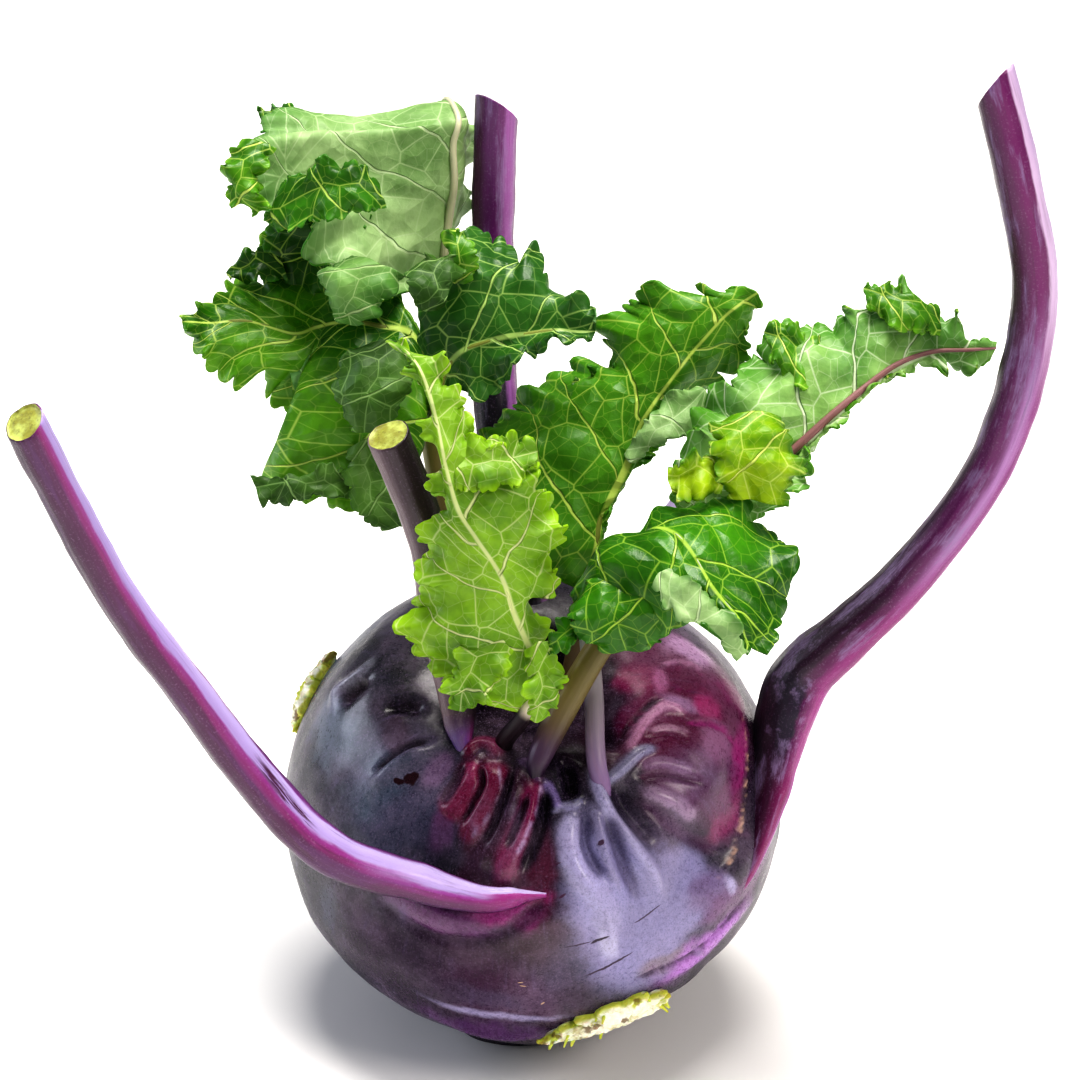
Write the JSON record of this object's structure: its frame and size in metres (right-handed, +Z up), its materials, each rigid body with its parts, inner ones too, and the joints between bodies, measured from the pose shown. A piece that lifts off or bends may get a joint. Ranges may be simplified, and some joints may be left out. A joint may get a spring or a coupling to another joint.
{
  "type": "kohlrabi",
  "caption": "Purple kohlrabi with curved cut stalks and young curled leaves, resting tilted on a small flat spot.",
  "frame": {"origin": "middle of the flat spot that the bulb rests on", "axes": "+Z up, -Y towards the side that the crown leans to, +X to the right seen from there"},
  "size_m": [0.1693, 0.1202, 0.1833],
  "materials": {
    "skin": "waxy dark purple skin with a grey-lavender bloom",
    "root": "dry cut woody stem base",
    "flesh": "torn pale fibrous flesh",
    "bright_stalk": "smooth magenta stalk with a pale bloom",
    "dark_stalk": "smooth dark purple stalk",
    "pale_leaf": "pale matt underside of a leaf",
    "dark_leaf": "dark green leaf with yellow veins",
    "lime_leaf": "bright young leaf with a white rib",
    "green_leaf": "mid green leaf with pale veins"
  },
  "bodies": {
    "root": {"bulb": "skin", "root_stub": "root", "leaf_scar_front": "flesh", "leaf_scar_left": "flesh", "stalk_left": "bright_stalk", "stalk_right": "bright_stalk", "stalk_rear": "dark_stalk", "stalk_short": "dark_stalk", "stalk_right_rear": "dark_stalk", "leaf_back": "pale_leaf", "leaf_left": "dark_leaf", "leaf_middle": "dark_leaf", "leaf_front": "lime_leaf", "leaf_centre": "green_leaf", "leaf_right": "green_leaf", "leaf_low_right": "dark_leaf"}
  },
  "joints": []
}
